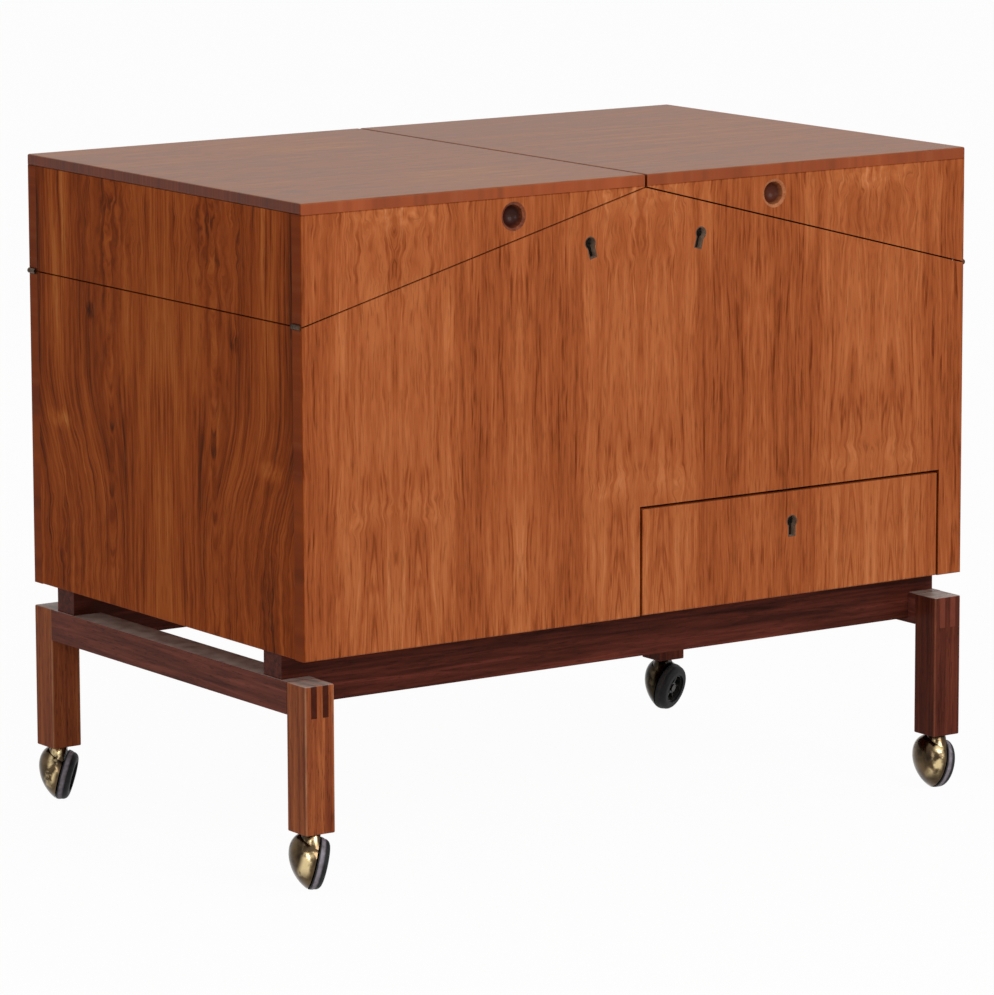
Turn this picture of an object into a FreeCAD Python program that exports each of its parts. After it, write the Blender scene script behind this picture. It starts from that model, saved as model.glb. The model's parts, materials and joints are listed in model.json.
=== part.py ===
# Bar cabinet with two swing-out lids and a drawer, on a leg frame with ball castors.
# Millimetres, +Z up, front towards -Y. The origin is on the floor, under the middle of the cabinet.
import FreeCAD, Part
import math
import os

Vector = FreeCAD.Vector

# Cabinet
cabinet_width = 870.0
cabinet_depth = 555.0
total_height = 724.0
cabinet_bottom = 247.0
seam_height = 596.0
apex_height = 710.3
end_board = 18.0
side_board = 16.0
inner_board = 16.0
lid_board = 12.0
lining_thickness = 1.0
seam_gap = 1.6
centre_gap = 3.0
arris = 2.0
overcut = 1.0

# Drawer
drawer_left = -7.5
drawer_right = 402.3
drawer_top = 366.5
drawer_gap = 3.3
drawer_foot = 0.5
drawer_length = 450.0
drawer_wall = 12.0
drawer_wall_bottom = 268.0
drawer_wall_top = 350.0
drawer_wall_inset = 6.0
drawer_sheet = 6.0
drawer_sheet_rise = 5.0
drawer_groove = 5.0
runner_height = 12.0
runner_bottom = 303.0
runner_bite = 6.0
runner_play = 0.4
shelf_bottom = 372.0

# Bottle divider
divider_board = 10.0
divider_height = 200.0

# Locks and keyholes
lock_backset = 38.4
lid_keyhole_x = 71.4
drawer_keyhole_x = 197.3
keyhole_height = 24.0
keyhole_head = 14.0
keyhole_tail = 10.0
keyhole_wall = 1.0
lock_width = 50.0
lock_below_key = 17.0
lock_depth = 11.0
lock_back_wall = 1.8
bolt_width = 16.0
bolt_thickness = 6.0
bolt_height = 22.0
bolt_play = 0.3
bolt_rest = 0.4
bolt_pocket_depth = 12.0
bolt_pocket_play = 1.5

# Finger pulls
pull_x = 171.0
pull_height = 691.6
pull_radius = 15.5
pull_bowl_radius = 12.5
pull_length = 16.0
pull_bevel = 2.0
pull_bowl_depth = 12.5

# Hinges
hinge_offset = 0.5
knuckle_radius = 3.0
hinge_pin_radius = 1.5
hinge_pin_play = 0.05
hinge_width = 14.0
hinge_inset = 2.5
hinge_leaf_length = 45.0
hinge_leaf_thickness = 1.6
knuckle_relief = 0.4
knuckle_side_gap = 0.3
knuckle_length = 4.4

# Leg frame
leg_section = 36.0
leg_top = 221.0
leg_bottom = 62.8
leg_edge_round = 1.5
side_rail_bottom = 186.5
long_rail_bottom = 192.0
long_rail_thickness = 34.5
long_rail_setback = 48.0
long_rail_end_inset = 2.0
screw_x = (-330.0, -110.0, 110.0, 330.0)
screw_head_radius = 5.0
screw_head_height = 3.0
screw_shank_radius = 2.5
screw_tip = 258.0
screw_well_top = 222.0
screw_play = 0.1
screw_slot_width = 1.2
screw_slot_depth = 1.4

# Castors
wheel_radius = 28.2
wheel_tilt = 14.0
wheel_offset = 3.5
castor_trail = 5.8
tread_crown = 11.0
tread_inner = -0.8
tread_outer = 5.0
shoulder_mid = (9.5, 25.0)
tyre_outer = 11.2
tyre_face_radius = 21.5
tyre_bore = 17.05
wheel_body_radius = 17.0
wheel_rim_wall = 1.8
wheel_web = (-1.8, 1.2)
wheel_rim_reach = (-2.0, 8.5)
hub_radius = 6.5
hub_reach = (-2.2, 6.5)
spoke_count = 6
spoke_width = 2.2
spoke_top = 5.5
spoke_bite = 1.0
axle_radius = 3.0
axle_play = 0.05
axle_head_radius = 4.6
axle_head = (6.8, 8.3)
hood_gap = 1.6
hood_radius = 27.8
hood_depth = 27.6
hood_lift = 11.4
hood_wall = 1.4
axle_boss_radius = 5.5
stem_radius = 4.7
stem_boss_radius = 6.5
stem_boss_bottom = 34.0
stem_root = 49.0
stem_top = 92.0
neck_foot = (16.0, 46.0)
neck_top = (9.8, 61.3)
stem_end_gap = 1.0
socket_radius = 7.0
socket_top = 96.0
socket_flange_radius = 10.0
socket_flange = 1.0
socket_play = 0.05
castor_yaws = {
    "front_left": -28.0,
    "rear_left": -39.5,
    "front_right": -14.0,
    "rear_right": -66.0,
}

# Places worked out from the driving dimensions
half_width = cabinet_width / 2
half_depth = cabinet_depth / 2
front = -half_depth
inner_front = front + end_board
inner_side = half_width - side_board
lid_underside = total_height - lid_board
hinge_x = -half_width - hinge_offset
slant = math.atan2(apex_height - seam_height, -hinge_x)
slant_degrees = math.degrees(slant)
half_gap = seam_gap / 2
partition_right = drawer_left - drawer_foot
floor_top = cabinet_bottom + inner_board


def block(x_low, x_high, y_low, y_high, z_low, z_high):
    """A board between two opposite corners."""
    corner = Vector(x_low, y_low, z_low)
    return Part.makeBox(x_high - x_low, y_high - y_low, z_high - z_low, corner)


def slab(outline, y_low, y_high):
    """A board cut to an outline of (x, z) corners, from y_low to y_high."""
    corners = [Vector(x, y_low, z) for x, z in outline]
    face = Part.Face(Part.makePolygon(corners + corners[:1]))
    return face.extrude(Vector(0, y_high - y_low, 0))


def rod(radius, start, end):
    """A round bar between two points."""
    along = end - start
    return Part.makeCylinder(radius, along.Length, start, along)


def soften(shape, radius, on_edge):
    """Round each straight edge whose two ends satisfy on_edge."""
    edges = []
    for edge in shape.Edges:
        if all(on_edge(vertex.Point) for vertex in edge.Vertexes):
            edges.append(edge)
    return shape.makeFillet(radius, edges)


def near(value, target):
    """True where two coordinates are the same place."""
    return abs(value - target) < 0.01


def mirrored_x(shape):
    """The same piece for the other end of the cabinet."""
    return shape.mirror(Vector(0, 0, 0), Vector(1, 0, 0))


def mirrored_y(shape):
    """The same piece for the back of the cabinet."""
    return shape.mirror(Vector(0, 0, 0), Vector(0, 1, 0))


def seam_z(x, offset):
    """Height of the left seam at x, moved square to itself by offset."""
    return seam_height + (x - hinge_x) * math.tan(slant) + offset / math.cos(slant)


def save(name, shape):
    """Write one piece, or one group of like pieces."""
    shape.exportStep(os.path.join("parts", name + ".step"))


def group(shapes):
    """Like pieces that share one name."""
    return Part.makeCompound(shapes)


# Locks, built upright with the keyhole's middle at the origin, the face at y = 0 and the edge above
def keyhole(shrink, y_low, y_high):
    """A keyhole plug: round head over a straight tail, smaller all round by shrink."""
    head_radius = keyhole_head / 2
    head_z = keyhole_height / 2 - head_radius
    tail = keyhole_tail / 2 - shrink
    head = rod(head_radius - shrink, Vector(0, y_low, head_z), Vector(0, y_high, head_z))
    foot = block(-tail, tail, y_low, y_high, shrink - keyhole_height / 2, head_z)
    return head.fuse(foot).removeSplitter()


def keyhole_liner():
    """Metal sleeve that lines the hole in the wood."""
    face_depth = end_board - lock_depth
    return keyhole(0, 0, face_depth).cut(keyhole(keyhole_wall, 0, face_depth))


def lock_mortise():
    """The housing cut for a lock, with the keyhole that leads to it."""
    case_front = end_board - lock_depth
    half = lock_width / 2
    case = block(-half, half, case_front, end_board, -lock_below_key, lock_backset)
    return case.fuse(keyhole(0, 0, case_front))


def bolt_body(play, z_low, z_high):
    """The bolt, or its channel with play all round."""
    half = bolt_width / 2 + play
    middle = end_board - lock_depth / 2
    reach = bolt_thickness / 2 + play
    return block(-half, half, middle - reach, middle + reach, z_low, z_high)


def lock_case():
    """Lock body with a channel for the bolt and the key's way in."""
    case_front = end_board - lock_depth
    half = lock_width / 2
    case = block(-half, half, case_front, end_board, -lock_below_key, lock_backset)
    channel_bottom = lock_backset - bolt_rest - bolt_height - bolt_play
    case = case.cut(bolt_body(bolt_play, channel_bottom, lock_backset))
    return case.cut(keyhole(keyhole_wall, case_front, end_board - lock_back_wall))


def lock_bolt():
    """The bolt, drawn back just below the edge."""
    top = lock_backset - bolt_rest
    return bolt_body(0, top - bolt_height, top)


def bolt_pocket():
    """Room for the bolt in the edge that it locks."""
    return bolt_body(bolt_pocket_play, lock_backset, lock_backset + bolt_pocket_depth + seam_gap)


def at_lid_lock(shape):
    """Set a lock piece square to the left slanted edge."""
    edge_z = seam_z(-lid_keyhole_x, -half_gap)
    key_z = edge_z - lock_backset / math.cos(slant)
    placed = shape.copy()
    placed.rotate(Vector(0, 0, 0), Vector(0, 1, 0), -slant_degrees)
    placed.translate(Vector(-lid_keyhole_x, front, key_z))
    return placed


def at_drawer_lock(shape):
    """Set a lock piece under the drawer front's upper edge."""
    placed = shape.copy()
    placed.translate(Vector(drawer_keyhole_x, front, drawer_top - drawer_gap - lock_backset))
    return placed


# Hinges, at the left front corner. Across the seam is up, along it is towards the middle.
hinge_front = front + hinge_inset
hinge_back = hinge_front + hinge_width
hinge_axis_front = Vector(hinge_x, hinge_front, seam_height)


def along_seam(shape):
    """Turn a piece drawn flat at the hinge axis to lie along the left seam."""
    placed = shape.copy()
    placed.rotate(Vector(0, 0, 0), Vector(0, 1, 0), -slant_degrees)
    placed.translate(hinge_axis_front)
    return placed


def knuckle(radius, y_low, y_high):
    """A stretch of round bar on the hinge axis."""
    return rod(radius, Vector(0, y_low, 0), Vector(0, y_high, 0))


def leaf_plate(z_low, z_high):
    """The flat of a leaf, before its knuckles."""
    return block(0, hinge_leaf_length, 0, hinge_width, z_low, z_high)


outer_knuckles = [(0.0, knuckle_length), (hinge_width - knuckle_length, hinge_width)]
middle_knuckle = [(knuckle_length + knuckle_side_gap, hinge_width - knuckle_length - knuckle_side_gap)]


def hinge_leaf(z_low, own, other, bore):
    """A leaf with its own knuckles, cleared for the other leaf's knuckles and bored for the pin."""
    leaf = leaf_plate(z_low, z_low + hinge_leaf_thickness)
    gap = knuckle_side_gap
    for y_low, y_high in other:
        leaf = leaf.cut(knuckle(knuckle_radius + gap, y_low - gap, y_high + gap))
    for y_low, y_high in own:
        leaf = leaf.fuse(knuckle(knuckle_radius, y_low, y_high))
    leaf = leaf.cut(knuckle(bore, -overcut, hinge_width + overcut))
    return along_seam(leaf.removeSplitter())


def hinge_room(z_low, z_high):
    """What an end board loses to a hinge: the leaf's bed and the knuckles' swing."""
    bed = leaf_plate(z_low, z_high)
    gap = knuckle_side_gap
    swing = knuckle(knuckle_radius + knuckle_relief, -gap, hinge_width + gap)
    return along_seam(bed.fuse(swing))


leaf_low = -half_gap - hinge_leaf_thickness
lower_room = hinge_room(leaf_low, 0)
upper_room = hinge_room(0, half_gap + hinge_leaf_thickness)


def cabinet_pieces():
    """The fixed box: ends, sides, floor, partition, shelf, divider and runners."""
    left_edge = seam_z(-half_width, -half_gap)
    apex = seam_z(0, -half_gap)
    outline = [
        (-half_width, cabinet_bottom),
        (-half_width, left_edge),
        (0, apex),
        (half_width, left_edge),
        (half_width, cabinet_bottom),
    ]

    def outer_corner(point):
        at_side = near(abs(point.x), half_width)
        return near(point.y, front) and (at_side or near(point.z, cabinet_bottom))

    end = soften(slab(outline, front, inner_front), arris, outer_corner)
    end = end.cut(lower_room).cut(mirrored_x(lower_room))
    save("cabinet_back", mirrored_y(end))

    cut_front = front - overcut
    cut_back = inner_front + overcut
    cut_bottom = cabinet_bottom - overcut
    opening = block(drawer_left, drawer_right, cut_front, cut_back, cut_bottom, drawer_top)
    face = end.cut(opening).cut(at_drawer_lock(bolt_pocket()))
    mortise = at_lid_lock(lock_mortise())
    save("cabinet_front", face.cut(mortise).cut(mirrored_x(mortise)))

    side_top = seam_height - half_gap
    side = block(-half_width, -inner_side, inner_front, -inner_front, cabinet_bottom, side_top)
    side = soften(side, arris, lambda p: near(p.x, -half_width) and near(p.z, cabinet_bottom))
    save("cabinet_left_side", side)
    save("cabinet_right_side", mirrored_x(side))

    floor = block(-inner_side, inner_side, inner_front, -inner_front, cabinet_bottom, floor_top)
    for hole in screw_shanks(screw_play):
        floor = floor.cut(hole)
    save("cabinet_floor", floor)

    partition_left = partition_right - inner_board
    partition = block(partition_left, partition_right, inner_front, -inner_front, floor_top, side_top)
    save("partition", partition)
    shelf_top = shelf_bottom + inner_board
    shelf = block(partition_right, inner_side, inner_front, -inner_front, shelf_bottom, shelf_top)
    save("drawer_shelf", shelf)

    half = divider_board / 2
    middle = (partition_left - inner_side) / 2
    top = floor_top + divider_height
    crossing = floor_top + divider_height / 2
    lengthways = block(-inner_side, partition_left, -half, half, floor_top, top)
    lengthways = lengthways.cut(block(middle - half, middle + half, -half, half, crossing, top))
    across = block(middle - half, middle + half, inner_front, -inner_front, floor_top, top)
    across = across.cut(block(middle - half, middle + half, -half, half, floor_top, crossing))
    save("bottle_divider", group([lengthways, across]))


# The drawer's box stands behind its front, with a groove in each side for a runner
drawer_front_left = drawer_left + drawer_gap
drawer_front_right = drawer_right - drawer_gap
wall_left = drawer_front_left + drawer_wall_inset
wall_right = drawer_front_right - drawer_wall_inset
wall_back = inner_front + drawer_length
runner_top = runner_bottom + runner_height


def runner_pieces():
    """Two hardwood strips that carry the drawer by its grooved sides."""
    tip_left = wall_left + runner_bite - runner_play
    tip_right = wall_right - runner_bite + runner_play
    y_low = inner_front + runner_height / 2
    left = block(partition_right, tip_left, y_low, wall_back, runner_bottom, runner_top)
    right = block(tip_right, inner_side, y_low, wall_back, runner_bottom, runner_top)
    save("drawer_runners", group([left, right]))


def drawer_pieces():
    """Front, sides, back and bottom of the drawer."""
    foot = cabinet_bottom + drawer_foot
    top = drawer_top - drawer_gap
    face = block(drawer_front_left, drawer_front_right, front, inner_front, foot, top)
    face = soften(face, arris, lambda p: near(p.y, front) and near(p.z, foot))
    save("drawer_front", face.cut(at_drawer_lock(lock_mortise())))

    sheet_low = drawer_wall_bottom + drawer_sheet_rise
    sheet_high = sheet_low + drawer_sheet
    back_low = wall_back - drawer_wall
    sheet_left = wall_left + drawer_wall - drawer_groove
    sheet_right = wall_right - drawer_wall + drawer_groove
    sheet = block(sheet_left, sheet_right, inner_front, back_low + drawer_groove, sheet_low, sheet_high)
    save("drawer_bottom", sheet)

    def wall(x_low, x_high):
        return block(x_low, x_high, inner_front, wall_back, drawer_wall_bottom, drawer_wall_top)

    def groove(x_low, x_high):
        groove_low = runner_bottom - runner_play
        groove_high = runner_top + runner_play
        return block(x_low, x_high, inner_front, wall_back, groove_low, groove_high)

    back_left = wall_left + drawer_wall
    back_right = wall_right - drawer_wall
    left = wall(wall_left, back_left).cut(groove(wall_left, wall_left + runner_bite))
    right = wall(back_right, wall_right).cut(groove(wall_right - runner_bite, wall_right))
    save("drawer_sides", group([left.cut(sheet), right.cut(sheet)]))
    back = block(back_left, back_right, back_low, wall_back, drawer_wall_bottom, drawer_wall_top)
    save("drawer_back", back.cut(sheet))


def lock_pieces():
    """Lock cases, bolts and keyhole liners of the two lids and the drawer."""
    case = at_lid_lock(lock_case())
    bolt = at_lid_lock(lock_bolt())
    liner = at_lid_lock(keyhole_liner())
    save("left_lid_lock", case)
    save("right_lid_lock", mirrored_x(case))
    save("left_lid_bolt", bolt)
    save("right_lid_bolt", mirrored_x(bolt))
    save("lid_keyhole_liners", group([liner, mirrored_x(liner)]))
    save("drawer_lock", at_drawer_lock(lock_case()))
    save("drawer_bolt", at_drawer_lock(lock_bolt()))
    save("drawer_keyhole_liner", at_drawer_lock(keyhole_liner()))


def finger_pull():
    """A turned cup: bevelled ring round a bowl that is part of a ball."""
    ball_rise = pull_bowl_depth - pull_bevel
    ball_radius = (pull_bowl_radius ** 2 + ball_rise ** 2) / (2 * ball_rise)
    half_turn = math.asin(pull_bowl_radius / ball_radius) / 2
    side_depth = pull_bowl_depth - ball_radius * (1 - math.cos(half_turn))
    bowl_side = Vector(ball_radius * math.sin(half_turn), side_depth, 0)
    rim = Vector(pull_radius, 0, 0)
    heel = Vector(pull_radius, pull_length, 0)
    heel_middle = Vector(0, pull_length, 0)
    bowl_middle = Vector(0, pull_bowl_depth, 0)
    bowl_lip = Vector(pull_bowl_radius, pull_bevel, 0)
    edges = [
        Part.LineSegment(rim, heel).toShape(),
        Part.LineSegment(heel, heel_middle).toShape(),
        Part.LineSegment(heel_middle, bowl_middle).toShape(),
        Part.Arc(bowl_middle, bowl_side, bowl_lip).toShape(),
        Part.LineSegment(bowl_lip, rim).toShape(),
    ]
    profile = Part.Face(Part.Wire(edges))
    cup = profile.revolve(Vector(0, 0, 0), Vector(0, 1, 0), 360)
    cup.translate(Vector(-pull_x, front, pull_height))
    return cup


def lid_pieces():
    """One lid, drawn for the left and mirrored for the right."""
    inner_edge = -centre_gap / 2
    end_outline = [
        (-half_width, seam_z(-half_width, half_gap)),
        (-half_width, lid_underside),
        (inner_edge, lid_underside),
        (inner_edge, seam_z(inner_edge, half_gap)),
    ]
    end = slab(end_outline, front, inner_front)
    end = soften(end, arris, lambda p: near(p.y, front) and near(p.x, -half_width))
    end = end.cut(upper_room)
    pull_start = Vector(-pull_x, front, pull_height)
    pull_end = Vector(-pull_x, front + pull_length, pull_height)
    face = end.cut(rod(pull_radius, pull_start, pull_end)).cut(at_lid_lock(bolt_pocket()))

    top = block(-half_width, inner_edge, front, -front, lid_underside, total_height)

    def outer_corner(point):
        at_corner = near(point.x, -half_width) and near(abs(point.y), half_depth)
        return at_corner or near(point.z, total_height)

    top = soften(top, arris, outer_corner)

    side_bottom = seam_height + half_gap
    side = block(-half_width, -inner_side, inner_front, -inner_front, side_bottom, lid_underside)
    lining_low = lid_underside - lining_thickness
    lining = block(-inner_side, inner_edge, inner_front, -inner_front, lining_low, lid_underside)
    pieces = {
        "lid_top": top,
        "lid_side": side,
        "lid_front": face,
        "lid_back": mirrored_y(end),
        "lid_lining": lining,
        "lid_pull": finger_pull(),
    }
    for name, shape in pieces.items():
        save("left_" + name, shape)
        save("right_" + name, mirrored_x(shape))


def hinge_pieces():
    """Two narrow hinges for each lid, let into the slanted edges at the front and back corners."""
    lower = hinge_leaf(leaf_low, outer_knuckles, middle_knuckle, hinge_pin_radius)
    upper = hinge_leaf(half_gap, middle_knuckle, outer_knuckles, hinge_pin_radius + hinge_pin_play)
    pin = along_seam(knuckle(hinge_pin_radius, 0, hinge_width))
    left_lower = [lower, mirrored_y(lower)]
    left_upper = [upper, mirrored_y(upper)]
    left_pins = [pin, mirrored_y(pin)]
    save("hinge_lower_leaves", group(left_lower + [mirrored_x(leaf) for leaf in left_lower]))
    save("hinge_pins", group(left_pins + [mirrored_x(bar) for bar in left_pins]))
    save("left_hinge_upper_leaves", group(left_upper))
    save("right_hinge_upper_leaves", group([mirrored_x(leaf) for leaf in left_upper]))


# Leg frame
leg_x = half_width - leg_section / 2
leg_y = half_depth - leg_section / 2
tenon_width = leg_section / 5
rail_front = front + long_rail_setback
rail_back = rail_front + long_rail_thickness
rail_inner_end = half_width - leg_section
screw_y = (rail_front + rail_back) / 2


def screw_shanks(play):
    """The four shanks in each long rail, or their holes with play."""
    shanks = []
    for y in (screw_y, -screw_y):
        for x in screw_x:
            start = Vector(x, y, screw_well_top)
            shanks.append(rod(screw_shank_radius + play, start, Vector(x, y, screw_tip)))
    return shanks


def screws():
    """Slotted screws in deep wells, holding the cabinet down on the long rails."""
    pieces = []
    head_bottom = screw_well_top - screw_head_height
    for shank in screw_shanks(0):
        middle = shank.BoundBox.Center
        base = Vector(middle.x, middle.y, head_bottom)
        head = rod(screw_head_radius, base, Vector(middle.x, middle.y, screw_well_top))
        half = screw_slot_width / 2
        reach = screw_head_radius + overcut
        slot_height = screw_slot_depth + overcut
        slot = Part.makeBox(2 * reach, screw_slot_width, slot_height)
        slot.translate(base - Vector(reach, half, overcut))
        pieces.append(head.cut(slot).fuse(shank))
    return pieces


def tenons(y_low, y_high):
    """The pair of through tenons at one end of the left side rail."""
    pieces = []
    for place in (1, 3):
        x_low = -half_width + place * tenon_width
        pieces.append(block(x_low, x_low + tenon_width, y_low, y_high, side_rail_bottom, leg_top))
    return pieces


def frame_pieces():
    """Legs, side rails tenoned through them, and long rails lapped over the side rails."""
    leg_inner = front + leg_section
    blank = block(-half_width, -rail_inner_end, front, leg_inner, leg_bottom, leg_top)
    blank = blank.makeFillet(leg_edge_round, blank.Edges)
    leg = blank
    for tenon in tenons(front, leg_inner):
        leg = leg.cut(tenon)
    bore_start = Vector(-leg_x, -leg_y, leg_bottom)
    bore = rod(socket_radius + socket_play, bore_start, Vector(-leg_x, -leg_y, socket_top))
    leg = leg.cut(bore)
    save("front_left_leg", leg)
    save("front_right_leg", mirrored_x(leg))
    save("rear_left_leg", mirrored_y(leg))
    save("rear_right_leg", mirrored_x(mirrored_y(leg)))

    side_rail = block(-half_width, -rail_inner_end, leg_inner, -leg_inner, side_rail_bottom, leg_top)
    for tenon in tenons(front, leg_inner):
        flush = tenon.common(blank)
        side_rail = side_rail.fuse(flush).fuse(mirrored_y(flush))
    side_rail = side_rail.removeSplitter()
    save("left_side_rail", side_rail)
    save("right_side_rail", mirrored_x(side_rail))

    end = half_width - long_rail_end_inset
    rail = block(-rail_inner_end, rail_inner_end, rail_front, rail_back, long_rail_bottom, leg_top)
    rail = rail.fuse(block(-end, end, rail_front, rail_back, leg_top, cabinet_bottom)).removeSplitter()
    for shank in screw_shanks(screw_play):
        rail = rail.cut(shank)
    for x in screw_x:
        well_top = Vector(x, screw_y, screw_well_top)
        rail = rail.cut(rod(screw_head_radius + screw_play, Vector(x, screw_y, long_rail_bottom), well_top))
    save("front_long_rail", rail)
    save("rear_long_rail", mirrored_y(rail))
    save("frame_screws", group(screws()))


# Castors, drawn about the swivel axis with the wheel towards +X and then turned and set under a leg
tilt = math.radians(wheel_tilt)
axle_direction = Vector(math.cos(tilt), 0, -math.sin(tilt))
wheel_up = Vector(math.sin(tilt), 0, math.cos(tilt))
crown_centre = wheel_radius - tread_crown
wheel_height = crown_centre * math.cos(tilt) + tread_crown
wheel_centre = Vector(wheel_offset, castor_trail, wheel_height)
hood_plane = tread_inner - hood_gap
hood_centre = wheel_centre + axle_direction * hood_plane


def on_axle(reach):
    """The point on the wheel's axis that lies reach outwards of the wheel's middle."""
    return wheel_centre + axle_direction * reach


def turned(profile_edges):
    """Turn a profile of (reach, radius) edges about the axle."""
    spin = Part.Face(Part.Wire(profile_edges)).revolve(Vector(0, 0, 0), Vector(1, 0, 0), 360)
    spin.rotate(Vector(0, 0, 0), Vector(0, 1, 0), wheel_tilt)
    spin.translate(wheel_centre)
    return spin


def castor_tyre():
    """Rubber tyre with a crowned tread and a full, rounded outer shoulder."""

    def crown(reach):
        return Vector(reach, crown_centre + math.sqrt(tread_crown ** 2 - reach ** 2), 0)

    inner_bore = Vector(tread_inner, tyre_bore, 0)
    outer_bore = Vector(tyre_outer, tyre_bore, 0)
    face_edge = Vector(tyre_outer, tyre_face_radius, 0)
    tread_start = crown(tread_inner)
    tread_end = crown(tread_outer)
    shoulder = Vector(shoulder_mid[0], shoulder_mid[1], 0)
    return turned([
        Part.LineSegment(inner_bore, tread_start).toShape(),
        Part.Arc(tread_start, crown(0), tread_end).toShape(),
        Part.Arc(tread_end, shoulder, face_edge).toShape(),
        Part.LineSegment(face_edge, outer_bore).toShape(),
        Part.LineSegment(outer_bore, inner_bore).toShape(),
    ])


def castor_wheel():
    """Dished wheel body: rim, thin web, hub and spokes on the open side."""
    rim = rod(wheel_body_radius, on_axle(wheel_rim_reach[0]), on_axle(wheel_rim_reach[1]))
    dish_start = on_axle(wheel_rim_reach[0] - overcut)
    dish_end = on_axle(wheel_rim_reach[1] + overcut)
    dish = rod(wheel_body_radius - wheel_rim_wall, dish_start, dish_end)
    body = rim.cut(dish)
    body = body.fuse(rod(wheel_body_radius, on_axle(wheel_web[0]), on_axle(wheel_web[1])))
    body = body.fuse(rod(hub_radius, on_axle(hub_reach[0]), on_axle(hub_reach[1])))
    spoke_start = hub_radius - spoke_bite
    spoke_length = wheel_body_radius - wheel_rim_wall / 2 - spoke_start
    spoke_rise = spoke_top - wheel_web[1] + spoke_bite
    foot = Vector(wheel_web[1] - spoke_bite, spoke_start, -spoke_width / 2)
    for number in range(spoke_count):
        spoke = Part.makeBox(spoke_rise, spoke_length, spoke_width, foot)
        spoke.rotate(Vector(0, 0, 0), Vector(1, 0, 0), number * 360.0 / spoke_count)
        spoke.rotate(Vector(0, 0, 0), Vector(0, 1, 0), wheel_tilt)
        spoke.translate(wheel_centre)
        body = body.fuse(spoke)
    bore = rod(axle_radius + axle_play, dish_start, dish_end)
    return body.cut(bore).removeSplitter()


def hood_dome(radius, depth):
    """Half an egg on the wheel's side plane, its tip lifted upwards."""
    lift = hood_lift * depth / hood_depth
    tip = wheel_up * lift - axle_direction * depth
    half_ball = Part.makeSphere(1.0, Vector(0, 0, 0), Vector(0, 0, 1), 0, 90, 360)
    shape = FreeCAD.Matrix(
        wheel_up.x * radius, 0, tip.x, hood_centre.x,
        0, radius, 0, hood_centre.y,
        wheel_up.z * radius, 0, tip.z, hood_centre.z,
        0, 0, 0, 1,
    )
    return half_ball.transformGeometry(shape)


def castor_hood():
    """Brass hood with a neck round its swivel stem, and the riveted axle that carries the wheel."""
    outside = hood_dome(hood_radius, hood_depth)
    inside = hood_dome(hood_radius - hood_wall, hood_depth - hood_wall)
    deep = hood_plane - hood_depth
    axle_boss = rod(axle_boss_radius, on_axle(deep), on_axle(hood_plane)).common(outside)
    stem_boss = rod(stem_boss_radius, Vector(0, 0, stem_boss_bottom), Vector(0, 0, leg_bottom))
    stem_boss = stem_boss.common(outside)
    neck = Part.makeCone(neck_foot[0], neck_top[0], neck_top[1] - neck_foot[1], Vector(0, 0, neck_foot[1]))
    neck = neck.common(rod(2 * hood_radius, on_axle(deep), on_axle(hood_plane)))
    hood = outside.cut(inside).fuse(axle_boss).fuse(stem_boss).fuse(neck)
    hood = hood.fuse(rod(stem_radius, Vector(0, 0, stem_root), Vector(0, 0, stem_top)))
    hood = hood.fuse(rod(axle_radius, on_axle(hood_plane - axle_boss_radius), on_axle(axle_head[1])))
    return hood.fuse(rod(axle_head_radius, on_axle(axle_head[0]), on_axle(axle_head[1])))


def castor_socket():
    """Flanged sleeve driven into the leg, in which the stem turns."""
    flange_bottom = leg_bottom - socket_flange
    sleeve = rod(socket_radius, Vector(0, 0, flange_bottom), Vector(0, 0, socket_top))
    flange = rod(socket_flange_radius, Vector(0, 0, flange_bottom), Vector(0, 0, leg_bottom))
    bore_bottom = Vector(0, 0, flange_bottom - overcut)
    bore = rod(stem_radius + socket_play, bore_bottom, Vector(0, 0, stem_top + stem_end_gap))
    return sleeve.fuse(flange).cut(bore)


def castor_pieces():
    """Four castors, each turned the way it was left standing."""
    places = {
        "front_left": Vector(-leg_x, -leg_y, 0),
        "rear_left": Vector(-leg_x, leg_y, 0),
        "front_right": Vector(leg_x, -leg_y, 0),
        "rear_right": Vector(leg_x, leg_y, 0),
    }
    pieces = {
        "castor_hood": castor_hood(),
        "castor_wheel": castor_wheel(),
        "castor_tyre": castor_tyre(),
    }
    sockets = []
    for corner, place in places.items():
        for name, shape in pieces.items():
            placed = shape.copy()
            placed.rotate(Vector(0, 0, 0), Vector(0, 0, 1), castor_yaws[corner])
            placed.translate(place)
            save(corner + "_" + name, placed)
        socket = castor_socket()
        socket.translate(place)
        sockets.append(socket)
    save("castor_sockets", group(sockets))


os.makedirs("parts", exist_ok=True)
frame_pieces()
castor_pieces()
cabinet_pieces()
runner_pieces()
drawer_pieces()
lock_pieces()
lid_pieces()
hinge_pieces()
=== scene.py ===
import json
import math

import bpy
from mathutils import Matrix, Vector

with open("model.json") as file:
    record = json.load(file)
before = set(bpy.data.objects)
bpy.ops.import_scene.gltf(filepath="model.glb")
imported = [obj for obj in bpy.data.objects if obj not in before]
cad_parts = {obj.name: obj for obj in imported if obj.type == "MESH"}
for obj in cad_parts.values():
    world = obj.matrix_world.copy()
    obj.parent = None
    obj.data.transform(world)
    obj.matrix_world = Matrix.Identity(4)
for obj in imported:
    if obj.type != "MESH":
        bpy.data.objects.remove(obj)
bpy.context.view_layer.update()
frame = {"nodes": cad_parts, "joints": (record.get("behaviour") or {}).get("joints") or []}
nodes = frame["nodes"]

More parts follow.
